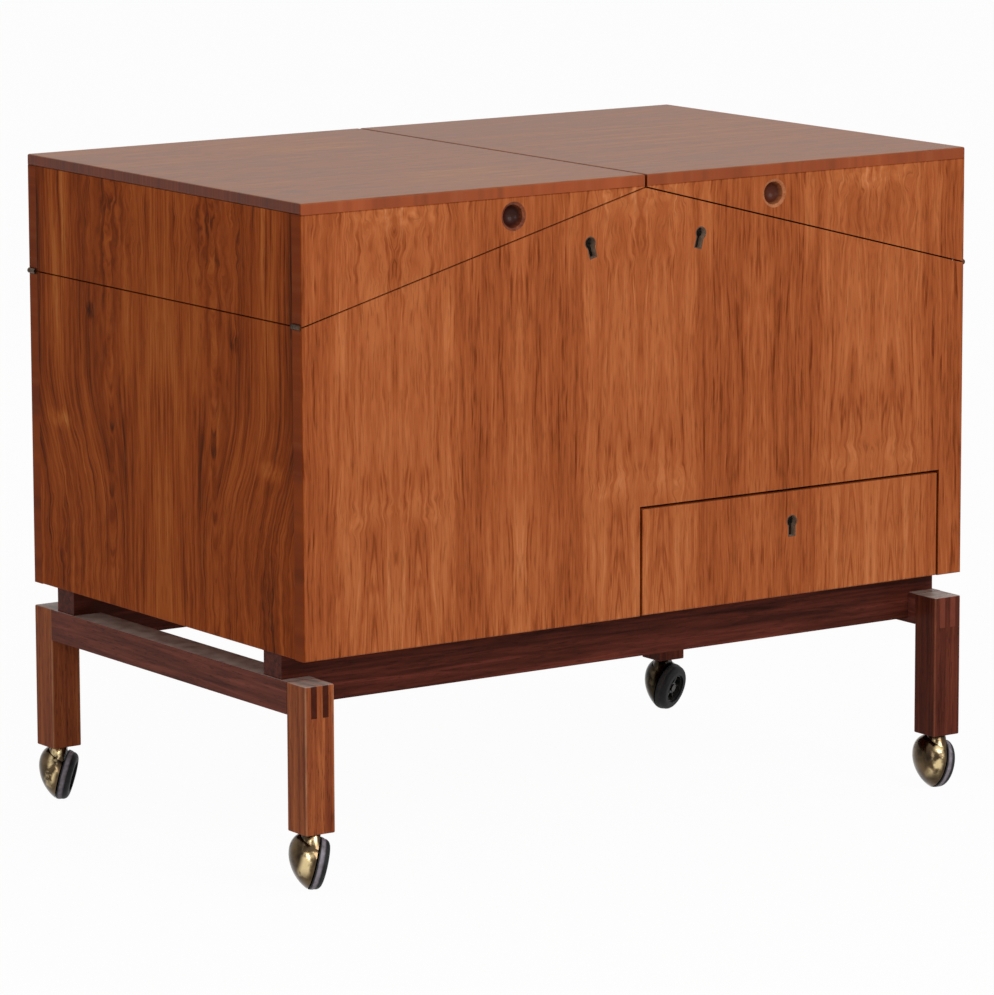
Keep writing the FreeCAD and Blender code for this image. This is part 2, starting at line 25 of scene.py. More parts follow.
# Legs: four square posts of solid rosewood, planed, sanded and oiled, with eased edges.
# The grain runs up the post. The two on the left are brown, the two on the right a dark red brown, partly the
# wood and partly painted shade.
# The upright edges are paler, partly worn by handling and partly a painted highlight, and the tops are pale
# with dust and a painted sheen.
MM = 0.001
X, Y, Z = range(3)
LEG_HALF = 18.0 * MM
LEG_CENTRE = Vector((417.0, 259.5, 0.0)) * MM
ROSEWOOD_PORES = "#1E0D08"
OILED_WOOD_IOR = 1.48
# The sockets of a Mix node that mixes colours
SHARE, FIRST, SECOND, MIXED = 0, 6, 7, 2


def linear(code):
    """An sRGB hex colour as the linear colour that a shader takes."""
    parts = [int(code[place:place + 2], 16) / 255 for place in (1, 3, 5)]
    bright = [p / 12.92 if p <= 0.04045 else ((p + 0.055) / 1.055) ** 2.4 for p in parts]
    return (*bright, 1.0)


def add(tree, kind, inputs, stops=(), **settings):
    """Add one shader node: its options, its values or the sockets that feed it, and a ramp's colours."""
    node = tree.nodes.new("ShaderNode" + kind)
    for key, value in settings.items():
        setattr(node, key, value)
    for key, value in inputs.items():
        if isinstance(value, bpy.types.NodeSocket):
            tree.links.new(value, node.inputs[key])
        else:
            node.inputs[key].default_value = value
    for number, (place, code) in enumerate(stops):
        ramp = node.color_ramp.elements
        stop = ramp[number] if number < len(ramp) else ramp.new(place)
        stop.position = place
        stop.color = linear(code)
    return node


def blank_material(name):
    """A named material with an empty node tree."""
    material = bpy.data.materials.new(name)
    material.use_nodes = True
    material.node_tree.nodes.clear()
    return material


def coat(material, *names):
    """Give CAD nodes this material."""
    for name in names:
        slots = nodes[name].data.materials
        slots.clear()
        slots.append(material)


def tint(tree, shader, share, tone):
    """Lay one more colour over a shader's own colour, as thickly as the share says."""
    plain = shader.inputs["Base Color"].links[0].from_socket
    mix = add(tree, "Mix", {SHARE: share, FIRST: plain, SECOND: linear(tone)}, data_type="RGBA")
    tree.links.new(mix.outputs[MIXED], shader.inputs["Base Color"])


def solid_wood(name, along, tones, pore_tone):
    """Planed and oiled wood: streaks and open pores drawn out along one axis, and a satin sheen.

    Real pores are about 0.3 mm wide. They are drawn four times as wide here, or they would not show.
    """
    streak_width = 7.0 * MM
    streak_length = 160.0 * MM
    pore_width = 1.3 * MM
    pore_length = 14.0 * MM
    pore_depth = 0.4 * MM
    pore_darkness = 0.45
    material = blank_material(name)
    tree = material.node_tree
    place = add(tree, "TexCoord", {}).outputs["Object"]
    streak_scale = [1 / streak_width] * 3
    streak_scale[along] = 1 / streak_length
    pore_scale = [1 / pore_width] * 3
    pore_scale[along] = 1 / pore_length
    drawn = add(tree, "Mapping", {"Vector": place, "Scale": streak_scale}).outputs[0]
    streaks = add(tree, "TexNoise", {"Vector": drawn, "Scale": 1.0, "Detail": 5.0, "Roughness": 0.62,
                                     "Distortion": 0.6}).outputs["Fac"]
    pored = add(tree, "Mapping", {"Vector": place, "Scale": pore_scale}).outputs[0]
    pores = add(tree, "TexNoise", {"Vector": pored, "Scale": 1.0, "Detail": 2.0}).outputs["Fac"]
    wood = add(tree, "ValToRGB", {"Fac": streaks}, stops=tones).outputs["Color"]
    dark = add(tree, "MapRange", {"Value": pores, "From Min": 0.56, "From Max": 0.70, "To Min": 0.0,
                                  "To Max": pore_darkness}).outputs[0]
    pored_wood = add(tree, "Mix", {SHARE: dark, FIRST: wood, SECOND: linear(pore_tone)}, data_type="RGBA")
    sheen = add(tree, "MapRange", {"Value": streaks, "From Min": 0.3, "From Max": 0.7, "To Min": 0.30,
                                   "To Max": 0.42}).outputs[0]
    relief = add(tree, "Bump", {"Height": pores, "Strength": 0.06, "Distance": pore_depth}).outputs[0]
    shader = add(tree, "BsdfPrincipled", {"Base Color": pored_wood.outputs[MIXED], "Roughness": sheen,
                                          "Normal": relief, "IOR": OILED_WOOD_IOR,
                                          "Specular IOR Level": 0.04})
    add(tree, "OutputMaterial", {"Surface": shader.outputs[0]})
    return material, tree, shader


def dust_and_sheen(tree, shader):
    """Fine pale dust in patches, with a painted sheen, on the faces that look up."""
    patch_size = 18.0 * MM
    facing = add(tree, "TexCoord", {})
    up = add(tree, "SeparateXYZ", {0: facing.outputs["Normal"]}).outputs["Z"]
    patchy = add(tree, "TexNoise", {"Vector": facing.outputs["Object"], "Scale": 1 / patch_size,
                                    "Detail": 4.0}).outputs["Fac"]
    patch_strength = add(tree, "MapRange", {"Value": patchy, "From Min": 0.3, "From Max": 0.6, "To Min": 0.35,
                                   "To Max": 0.75}).outputs[0]
    on_top = add(tree, "MapRange", {"Value": up, "From Min": 0.5, "From Max": 0.9, "To Max": patch_strength}).outputs[0]
    # Pale tone on the upward faces: partly dust, partly a painted sheen
    tint(tree, shader, on_top, "#C6B6AC")


def worn_and_lit_leg(name, tones, worn_and_lit):
    """Solid rosewood for a post, paler along its four upright edges (wear and a painted highlight), with dust
    and a painted sheen on top.
    """
    edge_start = LEG_HALF - 2.4 * MM
    edge_end = LEG_HALF - 0.2 * MM
    patch_size = 30.0 * MM
    material, tree, shader = solid_wood(name, Z, tones, ROSEWOOD_PORES)
    place = add(tree, "TexCoord", {}).outputs["Object"]
    mirrored = add(tree, "VectorMath", {0: place}, operation="ABSOLUTE").outputs[0]
    from_axis = add(tree, "VectorMath", {0: mirrored, 1: LEG_CENTRE}, operation="SUBTRACT").outputs[0]
    offset = add(tree, "VectorMath", {0: from_axis}, operation="ABSOLUTE").outputs[0]
    sides = add(tree, "SeparateXYZ", {0: offset})
    nearer = add(tree, "Math", {0: sides.outputs["X"], 1: sides.outputs["Y"]}, operation="MINIMUM").outputs[0]
    patchy = add(tree, "TexNoise", {"Vector": place, "Scale": 1 / patch_size, "Detail": 3.0}).outputs["Fac"]
    # Paler near the upright edges: partly wear, partly a painted highlight on the eased edges
    edge = add(tree, "MapRange", {"Value": nearer, "From Min": edge_start, "From Max": edge_end}).outputs[0]
    rubbed_and_lit = add(tree, "Math", {0: edge, 1: patchy}, operation="MULTIPLY").outputs[0]
    tint(tree, shader, rubbed_and_lit, worn_and_lit)
    dust_and_sheen(tree, shader)
    return material


BROWN_LEG_TONES = [(0.30, "#6C321E"), (0.70, "#AC6238"), (0.5, "#8E4A2A")]
# The right legs' darker tones are partly painted shade
DARK_SHADED_LEG_TONES = [(0.30, "#3E1A12"), (0.70, "#743A28"), (0.5, "#592A1E")]
brown_leg = worn_and_lit_leg("oiled rosewood leg, brown", BROWN_LEG_TONES, "#C08A66")
dark_shaded_leg = worn_and_lit_leg("oiled rosewood leg, dark", DARK_SHADED_LEG_TONES, "#8A523C")
coat(brown_leg, "front_left_leg", "rear_left_leg")
coat(dark_shaded_leg, "front_right_leg", "rear_right_leg")

# Side rails: solid rosewood, tenoned right through the legs with two tenons at each end.
# The tenons show as end grain in the legs' outer faces, darker than the leg on the left and much
# like it on the right. The rails' upper faces get the same pale dust and painted sheen.
TENON_START = LEG_CENTRE.y - LEG_HALF
TENON_FULL = TENON_START + 0.1 * MM
TENON_SHARE = 0.85
SIDE_RAILS = [("left_side_rail", "#3A160B"), ("right_side_rail", "#70382A")]
SIDE_RAIL_TONES = [(0.30, "#4C221A"), (0.70, "#84483A"), (0.5, "#68352A")]
for rail, tenon_tone in SIDE_RAILS:
    side_rail, tree, shader = solid_wood("oiled rosewood, " + rail, Y, SIDE_RAIL_TONES, ROSEWOOD_PORES)
    place = add(tree, "TexCoord", {}).outputs["Object"]
    depth = add(tree, "SeparateXYZ", {0: place}).outputs["Y"]
    distance = add(tree, "Math", {0: depth}, operation="ABSOLUTE").outputs[0]
    is_tenon = add(tree, "MapRange", {"Value": distance, "From Min": TENON_START, "From Max": TENON_FULL,
                                      "To Max": TENON_SHARE}).outputs[0]
    tint(tree, shader, is_tenon, tenon_tone)
    dust_and_sheen(tree, shader)
    coat(side_rail, rail)

# Long rails: two bearers of solid rosewood, lapped over the side rails, that carry the cabinet.
# They lie in the cabinet's shadow, and their tones are the darkest of the frame, partly the wood and partly
# painted shade.
LONG_RAIL_SHADED_TONES = [(0.30, "#35160F"), (0.70, "#6A3226"), (0.5, "#4E241B")]
long_rail = solid_wood("oiled rosewood long rail", X, LONG_RAIL_SHADED_TONES, ROSEWOOD_PORES)[0]
coat(long_rail, "front_long_rail", "rear_long_rail")

# Castor hoods: half shells of pressed brass on a stem, with a steel axle riveted in.
# Age gives the brass a brown lustre with cloudy tarnish, its brown darkened partly as a painted reflection of
# dark surroundings.
# It is bright in patches where the shell stands proud and higher up, partly rubbed and partly a painted
# highlight.
# The hood at the rear right is painted nearly black as painted shade under the cabinet.
AXLE_START = -1.5 * MM
AXLE_TONE = "#2E2A27"
HOOD_ROUGHNESS = 0.15
# Where the bright band lies along the axle and in height; higher up is brighter as a painted highlight
RUBBED_AND_LIT_REACH = (-20.0 * MM, -14.0 * MM, -9.0 * MM, -4.0 * MM)
RUBBED_AND_LIT_HEIGHT = (12.0 * MM, 30.0 * MM)
BRIGHT_PATCH_SIZE = 11.0 * MM


def aged_brass(name, clean, dull, roughness):
    """Brass that was polished once: cloudy tarnish, duller than the clean places, over a soft shine."""
    cloud_size = 16.0 * MM
    tarnish_roughness = 0.14
    material = blank_material(name)
    tree = material.node_tree
    place = add(tree, "TexCoord", {}).outputs["Object"]
    clouds = add(tree, "TexNoise", {"Vector": place, "Scale": 1 / cloud_size, "Detail": 5.0}).outputs["Fac"]
    colour = add(tree, "ValToRGB", {"Fac": clouds}, stops=[(0.35, dull), (0.62, clean)]).outputs["Color"]
    gloss = add(tree, "MapRange", {"Value": clouds, "From Min": 0.3, "From Max": 0.7,
                                   "To Min": roughness + tarnish_roughness, "To Max": roughness}).outputs[0]
    shader = add(tree, "BsdfPrincipled", {"Base Color": colour, "Metallic": 1.0, "Roughness": gloss})
    add(tree, "OutputMaterial", {"Surface": shader.outputs[0]})
    return material, tree, shader


def along_axle(tree, corner):
    """How far a point lies outwards of the wheel's middle, along this castor's own axle."""
    joint = next(j for j in frame["joints"] if j["name"] == corner + "_wheel_spin")
    place = add(tree, "TexCoord", {}).outputs["Object"]
    from_hub = add(tree, "VectorMath", {0: place, 1: joint["pos_m"]}, operation="SUBTRACT").outputs[0]
    return add(tree, "VectorMath", {0: from_hub, 1: joint["axis"]}, operation="DOT_PRODUCT").outputs["Value"]


# Each set: clean, dull and the band's bright tone, partly a painted highlight; the darker set at the rear
# right is painted shade
BROWN_BRASS = ("#5C4B36", "#30271E", "#DCC494")
SHADED_BRASS = ("#2E261C", "#15110D", "#4E4230")
HOODS = {
    "front_left": BROWN_BRASS,
    "rear_left": BROWN_BRASS,
    "front_right": BROWN_BRASS,
    "rear_right": SHADED_BRASS,
}
for corner, (clean, dull, rubbed_and_lit) in HOODS.items():
    hood_brass, tree, shader = aged_brass("aged brass, pressed, " + corner, clean, dull, HOOD_ROUGHNESS)
    reach = along_axle(tree, corner)
    place = add(tree, "TexCoord", {}).outputs["Object"]
    height = add(tree, "SeparateXYZ", {0: place}).outputs["Z"]
    far, far_full, near_full, near = RUBBED_AND_LIT_REACH
    low, low_full = RUBBED_AND_LIT_HEIGHT
    bright_patches = add(tree, "TexNoise", {"Vector": place, "Scale": 1 / BRIGHT_PATCH_SIZE, "Detail": 3.0}).outputs["Fac"]
    bright = add(tree, "MapRange", {"Value": bright_patches, "From Min": 0.42, "From Max": 0.58}).outputs[0]
    for value, start, end in ((reach, far, far_full), (reach, near, near_full), (height, low, low_full)):
        part = add(tree, "MapRange", {"Value": value, "From Min": start, "From Max": end},
                   interpolation_type="SMOOTHSTEP").outputs[0]
        bright = add(tree, "Math", {0: bright, 1: part}, operation="MULTIPLY").outputs[0]
    # Paints the bright band: partly rubbed brass, partly a painted highlight
    tint(tree, shader, bright, rubbed_and_lit)
    is_axle = add(tree, "Math", {0: reach, 1: AXLE_START}, operation="GREATER_THAN").outputs[0]
    tint(tree, shader, is_axle, AXLE_TONE)
    coat(hood_brass, corner + "_castor_hood")

# Castor wheels: dished mouldings of black phenolic resin with spokes, turning on the hoods' axles.
# The hard moulding is half glossy, with a faint brown mottle from its filler.
MOTTLE_SIZE = 4.0 * MM
wheel_black = blank_material("black phenolic moulding")
tree = wheel_black.node_tree
place = add(tree, "TexCoord", {}).outputs["Object"]
mottle = add(tree, "TexNoise", {"Vector": place, "Scale": 1 / MOTTLE_SIZE, "Detail": 3.0}).outputs["Fac"]
colour = add(tree, "ValToRGB", {"Fac": mottle}, stops=[(0.3, "#141312"), (0.7, "#2A2723")]).outputs["Color"]
shader = add(tree, "BsdfPrincipled", {"Base Color": colour, "Roughness": 0.42})
add(tree, "OutputMaterial", {"Surface": shader.outputs[0]})
for corner in HOODS:
    coat(wheel_black, corner + "_castor_wheel")

# Castor tyres: rings of black rubber pressed on the wheels.
# The treads are a dull grey, partly rubbed by the floor and partly painted light on the lit tread. At the
# rear right the tread is painted dark as painted shade under the cabinet. The sides stay black.
# Real scuffs are finer than the 5 mm they are drawn at here, but would not show.
TREAD_START = 0.2 * MM
TREAD_FULL = 1.4 * MM
TREAD_END = 4.2 * MM
TREAD_FADE = 6.2 * MM
SCUFF_SIZE = 5.0 * MM
SCUFF_DEPTH = 0.3 * MM
TYRE_SIDE_TONES = [(0.3, "#111012"), (0.7, "#222123")]
GREY_TREAD = [(0.3, "#6E676A"), (0.7, "#98919A")]
SHADED_TREAD = [(0.3, "#1E1C1B"), (0.7, "#34302E")]
TREADS = {
    "front_left": GREY_TREAD,
    "rear_left": GREY_TREAD,
    "front_right": GREY_TREAD,
    "rear_right": SHADED_TREAD,
}
for corner, tread_tones in TREADS.items():
    tyre_rubber = blank_material("worn rubber tyre " + corner)
    tree = tyre_rubber.node_tree
    place = add(tree, "TexCoord", {}).outputs["Object"]
    reach = along_axle(tree, corner)
    scuffs = add(tree, "TexNoise", {"Vector": place, "Scale": 1 / SCUFF_SIZE, "Detail": 5.0}).outputs["Fac"]
    tread = add(tree, "ValToRGB", {"Fac": scuffs}, stops=tread_tones).outputs["Color"]
    side = add(tree, "ValToRGB", {"Fac": scuffs}, stops=TYRE_SIDE_TONES).outputs["Color"]
    inner = add(tree, "MapRange", {"Value": reach, "From Min": TREAD_START,
                                   "From Max": TREAD_FULL}).outputs[0]
    outer = add(tree, "MapRange", {"Value": reach, "From Min": TREAD_FADE,
                                   "From Max": TREAD_END}).outputs[0]
    # The grey tread band: partly wear, partly painted light
    worn_and_lit = add(tree, "Math", {0: inner, 1: outer}, operation="MULTIPLY").outputs[0]
    rubber = add(tree, "Mix", {SHARE: worn_and_lit, FIRST: side, SECOND: tread}, data_type="RGBA").outputs[MIXED]
    relief = add(tree, "Bump", {"Height": scuffs, "Strength": 0.15, "Distance": SCUFF_DEPTH}).outputs[0]
    shader = add(tree, "BsdfPrincipled", {"Base Color": rubber, "Roughness": 0.62, "Normal": relief,
                                          "Specular IOR Level": 0.2})
    add(tree, "OutputMaterial", {"Surface": shader.outputs[0]})
    coat(tyre_rubber, corner + "_castor_tyre")

# Castor sockets and frame screws: plain turned steel, the sockets driven into the legs and the
# screws put up through the long rails into the cabinet's floor.
# The steel is dull with age, with small grey stains.
STAIN_SIZE = 3.0 * MM
plain_steel = blank_material("turned steel, dull")
tree = plain_steel.node_tree
place = add(tree, "TexCoord", {}).outputs["Object"]
stain = add(tree, "TexNoise", {"Vector": place, "Scale": 1 / STAIN_SIZE, "Detail": 4.0}).outputs["Fac"]
colour = add(tree, "ValToRGB", {"Fac": stain}, stops=[(0.35, "#5E5852"), (0.65, "#8C8780")]).outputs["Color"]
shader = add(tree, "BsdfPrincipled", {"Base Color": colour, "Metallic": 1.0, "Roughness": 0.4})
add(tree, "OutputMaterial", {"Surface": shader.outputs[0]})
coat(plain_steel, "castor_sockets", "frame_screws")

# Cabinet front and back, lid fronts and backs, drawer front: boards faced with rosewood veneer.
# Each leaf is the mirror of the one before it, and runs up through drawer and lids.
# The ends of the boards, seen at the sides, are dark lippings.


def veneer(tree, across, along, leaf, start, arch, fan, layers, patches):
    """Leaves of rosewood, each the mirror of the last: their tone and their flecks, from 0 to 1.

    Real pores are about 0.3 mm wide. The flecks that stand for them are drawn six times as wide.
    """
    wander_width = 60.0 * MM
    wander_length = 170.0 * MM
    wander_reach = 7.0 * MM
    curl_size = 26.0 * MM
    curl_reach = 15.0 * MM
    lump_size = 15.0 * MM
    tip_power = 1.5
    fleck_width = 1.9 * MM
    fleck_length = 22.0 * MM
    patch_edge, patch_core = 1.0, 0.2
    curl_edge, curl_core = 1.8, 0.5
    arch_fade = 1.6
    line_fade_start, line_fade_end = 1.2, 0.8
    # How fast each figure changes from leaf to leaf, so that the mirrored leaves are not quite alike
    wander_change, streak_change, fleck_change = 0.7, 0.6, 2.0

    place = add(tree, "TexCoord", {}).outputs["Object"]
    axes = add(tree, "SeparateXYZ", {0: place})
    height = axes.outputs["XYZ"[along]]
    shifted = add(tree, "Math", {0: axes.outputs["XYZ"[across]], 1: start}, operation="ADD").outputs[0]
    near = add(tree, "Math", {0: shifted, 1: leaf}, operation="PINGPONG").outputs[0]
    flat = add(tree, "CombineXYZ", {"X": near, "Y": shifted, "Z": height}).outputs[0]
    lump_noise = add(tree, "TexNoise", {"Vector": flat, "Scale": 1 / lump_size, "Detail": 2.0}).outputs["Fac"]

    # Patches are paler or darker places, some of them curly and lumpy
    tone = 0.5
    curly = 0.0
    for patch_place, patch_height, patch_width, patch_rise, gain, curl in patches:
        x = add(tree, "MapRange", {"Value": near, "From Min": patch_place,
                                   "From Max": patch_place + patch_width}, clamp=False).outputs[0]
        z = add(tree, "MapRange", {"Value": height, "From Min": patch_height,
                                   "From Max": patch_height + patch_rise}, clamp=False).outputs[0]
        apart = add(tree, "CombineXYZ", {"X": x, "Y": z}).outputs[0]
        radius = add(tree, "VectorMath", {0: apart}, operation="LENGTH").outputs["Value"]
        inside = add(tree, "MapRange", {"Value": radius, "From Min": patch_edge, "From Max": patch_core},
                     interpolation_type="SMOOTHSTEP").outputs[0]
        lumps = add(tree, "MapRange", {"Value": lump_noise, "From Min": 0.40, "From Max": 0.62,
                                       "To Min": 1.0 - curl, "To Max": 1.0}).outputs[0]
        shown = add(tree, "Math", {0: inside, 1: lumps}, operation="MULTIPLY").outputs[0]
        tone = add(tree, "Math", {0: shown, 1: gain, 2: tone}, operation="MULTIPLY_ADD").outputs[0]
        around = add(tree, "MapRange", {"Value": radius, "From Min": curl_edge, "From Max": curl_core,
                                        "To Max": curl}, interpolation_type="SMOOTHSTEP").outputs[0]
        curly = add(tree, "Math", {0: around, 1: curly}, operation="MAXIMUM").outputs[0]

    # The straight grain wanders, curls in the curly patches, and spreads upwards where there is a fan
    wander_scale = (1 / wander_width, wander_change, 1 / wander_length)
    slow = add(tree, "Mapping", {"Vector": flat, "Scale": wander_scale}).outputs[0]
    drift = add(tree, "TexNoise", {"Vector": slow, "Scale": 1.0, "Detail": 2.0}).outputs["Fac"]
    bend = add(tree, "MapRange", {"Value": drift, "To Min": -wander_reach, "To Max": wander_reach},
               clamp=False).outputs[0]
    twist = add(tree, "TexNoise", {"Vector": flat, "Scale": 1 / curl_size, "Detail": 2.0}).outputs["Fac"]
    turn = add(tree, "MapRange", {"Value": twist, "To Min": -curl_reach, "To Max": curl_reach},
               clamp=False).outputs[0]
    curled = add(tree, "Math", {0: turn, 1: curly, 2: bend}, operation="MULTIPLY_ADD").outputs[0]
    wandered = add(tree, "Math", {0: near, 1: curled}, operation="ADD").outputs[0]
    kept = add(tree, "Math", {0: wandered, 1: fan["edge"]}, operation="MINIMUM").outputs[0]
    past = add(tree, "Math", {0: wandered, 1: kept}, operation="SUBTRACT").outputs[0]
    spread = add(tree, "MapRange", {"Value": height, "From Min": fan["low"], "From Max": fan["high"],
                                    "To Min": 1.0, "To Max": fan["spread"]},
                 interpolation_type="SMOOTHSTEP").outputs[0]
    fan_reach = add(tree, "Math", {0: spread, 1: fan["width"]}, operation="MULTIPLY").outputs[0]
    in_fan = add(tree, "Math", {0: past, 1: fan_reach}, operation="MINIMUM").outputs[0]
    beyond = add(tree, "Math", {0: past, 1: in_fan}, operation="SUBTRACT").outputs[0]
    drawn_in = add(tree, "Math", {0: in_fan, 1: spread}, operation="DIVIDE").outputs[0]
    to_fan = add(tree, "Math", {0: kept, 1: drawn_in}, operation="ADD").outputs[0]
    fanned = add(tree, "Math", {0: to_fan, 1: beyond}, operation="ADD").outputs[0]
    straight = add(tree, "CombineXYZ", {"X": fanned, "Y": shifted, "Z": height}).outputs[0]

    # About the arch's middle the grain closes in pointed arches, one inside the other
    away = add(tree, "Math", {0: wandered, 1: arch["centre"]}, operation="SUBTRACT").outputs[0]
    beside = add(tree, "Math", {0: away}, operation="ABSOLUTE").outputs[0]
    share = add(tree, "Math", {0: beside, 1: arch["reach"]}, operation="DIVIDE").outputs[0]
    flank = add(tree, "Math", {0: share, 1: tip_power}, operation="POWER").outputs[0]
    rise = add(tree, "Math", {0: height, 1: arch["foot"]}, operation="SUBTRACT").outputs[0]
    climb = add(tree, "Math", {0: rise}, operation="ABSOLUTE").outputs[0]
    total = add(tree, "Math", {0: climb, 1: 1 / arch["drop"], 2: flank}, operation="MULTIPLY_ADD").outputs[0]
    arched = add(tree, "Math", {0: total, 1: 1 / tip_power}, operation="POWER").outputs[0]
    ring = add(tree, "Math", {0: arched, 1: arch["reach"]}, operation="MULTIPLY").outputs[0]
    pointed = add(tree, "CombineXYZ", {"X": ring, "Y": shifted, "Z": height}).outputs[0]
    inside = add(tree, "MapRange", {"Value": beside, "From Min": arch_fade * arch["hold"],
                                    "From Max": arch["hold"]}, interpolation_type="SMOOTHSTEP").outputs[0]
    turns = add(tree, "Math", {0: ring, 1: 2 * math.pi / arch["line_gap"]}, operation="MULTIPLY").outputs[0]
    crest = add(tree, "Math", {0: turns}, operation="SINE").outputs[0]
    thin = add(tree, "MapRange", {"Value": crest, "From Min": 0.5, "From Max": 1.0, "To Min": 0.0,
                                  "To Max": -arch["line_depth"]}).outputs[0]
    within = add(tree, "MapRange", {"Value": ring, "From Min": line_fade_start * arch["last_line"],
                                    "From Max": line_fade_end * arch["last_line"]},
                 interpolation_type="SMOOTHSTEP").outputs[0]
    lined = add(tree, "Math", {0: thin, 1: within}, operation="MULTIPLY").outputs[0]
    tone = add(tree, "Math", {0: lined, 1: inside, 2: tone}, operation="MULTIPLY_ADD").outputs[0]

    # Layers of streaks, from broad bands to thin dark lines
    for width, length, detail, low, high, pale, dark in layers:
        parts = []
        streak_scale = (1 / width, streak_change, 1 / length)
        for grain in (straight, pointed):
            drawn = add(tree, "Mapping", {"Vector": grain, "Scale": streak_scale}).outputs[0]
            noise = add(tree, "TexNoise", {"Vector": drawn, "Scale": 1.0, "Detail": detail,
                                           "Roughness": 0.6})
            parts.append(noise.outputs["Fac"])
        both = add(tree, "Mix", {"Factor": inside, "A": parts[0], "B": parts[1]}).outputs["Result"]
        part = add(tree, "MapRange", {"Value": both, "From Min": low, "From Max": high, "To Min": pale,
                                      "To Max": dark}).outputs[0]
        tone = add(tree, "Math", {0: tone, 1: part}, operation="ADD").outputs[0]
    fleck_scale = (1 / fleck_width, fleck_change, 1 / fleck_length)
    fine = add(tree, "Mapping", {"Vector": straight, "Scale": fleck_scale}).outputs[0]
    flecks = add(tree, "TexNoise", {"Vector": fine, "Scale": 1.0, "Detail": 2.0,
                                    "Roughness": 0.55}).outputs["Fac"]
    return tone, flecks


def veneered(name, across, along, leaf, start, arch, fan, layers, patches, tones, lippings, shine):
    """Oiled veneer on a board's faces, with lippings on the faces that look along the given axes."""
    dark_fleck = "#4A260E"
    pale_fleck = "#C07C50"
    fleck_depth = 0.3 * MM
    material = blank_material(name)
    tree = material.node_tree
    tone, flecks = veneer(tree, across, along, leaf, start, arch, fan, layers, patches)
    colour = add(tree, "ValToRGB", {"Fac": tone}, stops=tones).outputs["Color"]
    facing = add(tree, "TexCoord", {}).outputs["Normal"]
    looks = add(tree, "SeparateXYZ", {0: facing})
    for axis, lip_tones in lippings:
        toward = add(tree, "Math", {0: looks.outputs["XYZ"[axis]]}, operation="ABSOLUTE").outputs[0]
        is_lip = add(tree, "MapRange", {"Value": toward, "From Min": 0.55, "From Max": 0.85}).outputs[0]
        strip = add(tree, "ValToRGB", {"Fac": tone}, stops=lip_tones).outputs["Color"]
        lipped = add(tree, "Mix", {SHARE: is_lip, FIRST: colour, SECOND: strip}, data_type="RGBA")
        colour = lipped.outputs[MIXED]
    dark = add(tree, "MapRange", {"Value": flecks, "From Min": 0.52, "From Max": 0.74, "To Min": 0.0,
                                  "To Max": 0.42}).outputs[0]
    pale = add(tree, "MapRange", {"Value": flecks, "From Min": 0.45, "From Max": 0.25, "To Min": 0.0,
                                  "To Max": 0.14}).outputs[0]
    sheen = add(tree, "MapRange", {"Value": tone, "From Min": 0.2, "From Max": 0.8, "To Min": 0.40,
                                   "To Max": 0.50}).outputs[0]
    relief = add(tree, "Bump", {"Height": flecks, "Strength": 0.05, "Distance": fleck_depth}).outputs[0]
    shader = add(tree, "BsdfPrincipled", {"Base Color": colour, "Roughness": sheen, "Normal": relief,
                                          "IOR": OILED_WOOD_IOR, "Specular IOR Level": shine})
    tint(tree, shader, dark, dark_fleck)
    tint(tree, shader, pale, pale_fleck)
    add(tree, "OutputMaterial", {"Surface": shader.outputs[0]})
    return material


LEAF_WIDTH = 157.0 * MM
LEAF_START = 949.0 * MM
FRONT_ARCH = {
    "centre": 27.0 * MM,
    "foot": 225.0 * MM,
    "drop": 100.0 * MM,
    "reach": 10.0 * MM,
    "hold": 18.0 * MM,
    "line_gap": 5.5 * MM,
    "line_depth": 0.20,
    "last_line": 17.0 * MM,
}
NO_FAN = {"edge": 0.0, "width": 0.0, "low": 0.0, "high": 1.0, "spread": 1.0}
# Each layer: width and length of a streak, detail, the noise where it starts and ends, the tone at both
FRONT_LAYERS = [
    (80.0 * MM, 480.0 * MM, 1.0, 0.28, 0.72, -0.09, 0.09),
    (14.0 * MM, 260.0 * MM, 2.0, 0.28, 0.72, -0.12, 0.12),
    (3.6 * MM, 85.0 * MM, 3.0, 0.28, 0.72, -0.15, 0.15),
    (4.2 * MM, 60.0 * MM, 2.0, 0.57, 0.69, 0.0, -0.24),
]
WHOLE_LEAF = 10000.0 * MM
# Each patch: place in the leaf, height, half its width and half its height, change of tone, curl
# The last one is the dark glue line under the lid tops, darkened partly as a painted shadow in the joint
FRONT_PATCHES = [
    (0.0, 704.0 * MM, 72.0 * MM, 26.0 * MM, 0.22, 0.9),
    (0.0, 655.0 * MM, 52.0 * MM, 36.0 * MM, -0.08, 0.5),
    (50.0 * MM, 386.0 * MM, 16.0 * MM, 12.0 * MM, 0.12, 0.6),
    (30.0 * MM, 394.0 * MM, 40.0 * MM, 18.0 * MM, 0.05, 0.6),
    (0.0, 480.0 * MM, 110.0 * MM, 900.0 * MM, 0.10, 0.0),
    (0.0, 712.0 * MM, WHOLE_LEAF, 1.6 * MM, -0.34, 0.0),
]
FRONT_TONES = [(0.15, "#6E3014"), (0.90, "#CA8054"), (0.38, "#934A25"), (0.52, "#A2562E"), (0.66, "#B06438")]
LIPPING_TONES = [(0.3, "#76300F"), (0.7, "#A24C1E")]
front_veneer = veneered("oiled rosewood veneer, upright", across=X, along=Z, leaf=LEAF_WIDTH,
                        start=LEAF_START, arch=FRONT_ARCH, fan=NO_FAN, layers=FRONT_LAYERS,
                        patches=FRONT_PATCHES, tones=FRONT_TONES, lippings=[(X, LIPPING_TONES)], shine=0.03)
coat(front_veneer, "cabinet_front", "cabinet_back", "drawer_front", "left_lid_front", "left_lid_back",
     "right_lid_front", "right_lid_back")

